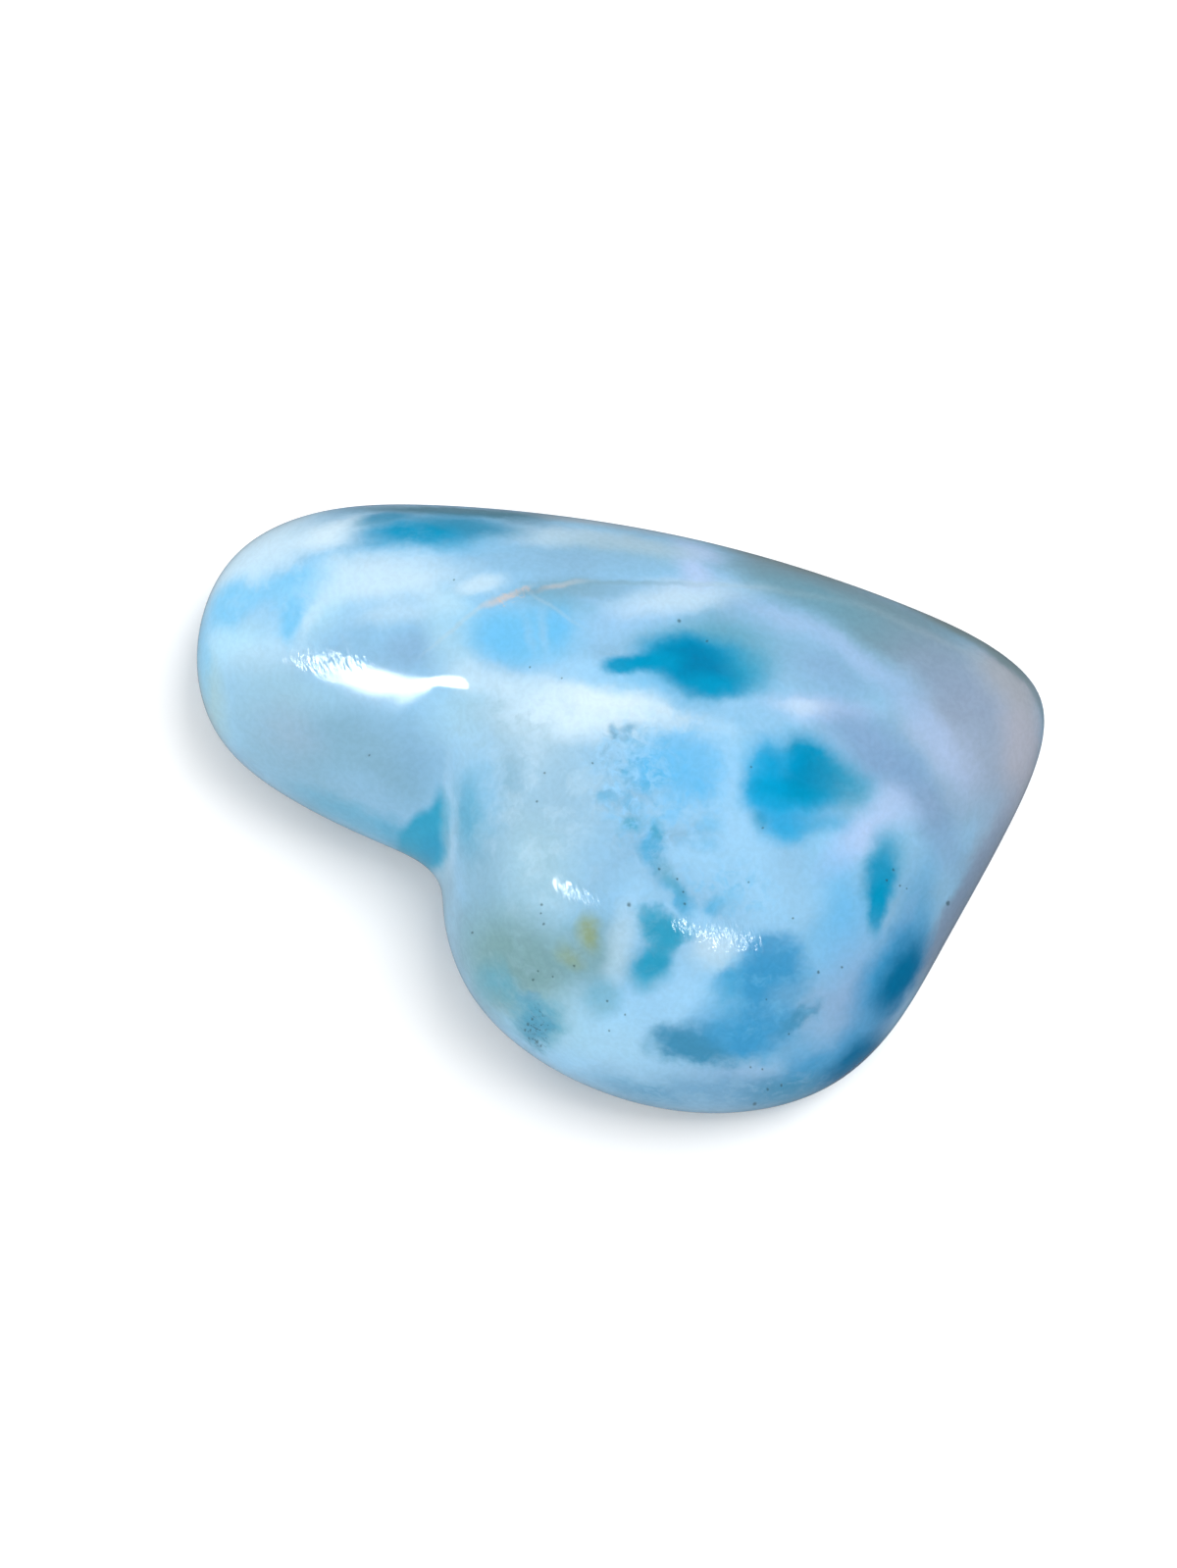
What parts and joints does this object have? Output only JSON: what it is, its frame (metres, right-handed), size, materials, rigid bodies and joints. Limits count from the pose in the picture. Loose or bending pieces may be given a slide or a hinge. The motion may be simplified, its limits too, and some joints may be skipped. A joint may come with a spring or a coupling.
{
  "type": "larimar cabochon",
  "caption": "Freeform, lopsided heart-shaped larimar stone with a smooth polished dome, a cleft between its lobes and a flat back for resting or setting.",
  "frame": {"origin": "middle of the outline's box, on the plane of the flat back", "axes": "+Z out of the flat back towards the top of the dome, +X along the stone's long side towards its pointed end, +Y across it towards the straight upper edge"},
  "size_m": [0.034, 0.0246, 0.0101],
  "materials": {
    "larimar": "high polish"
  },
  "bodies": {
    "root": {"larimar_cabochon": "larimar"}
  },
  "joints": []
}
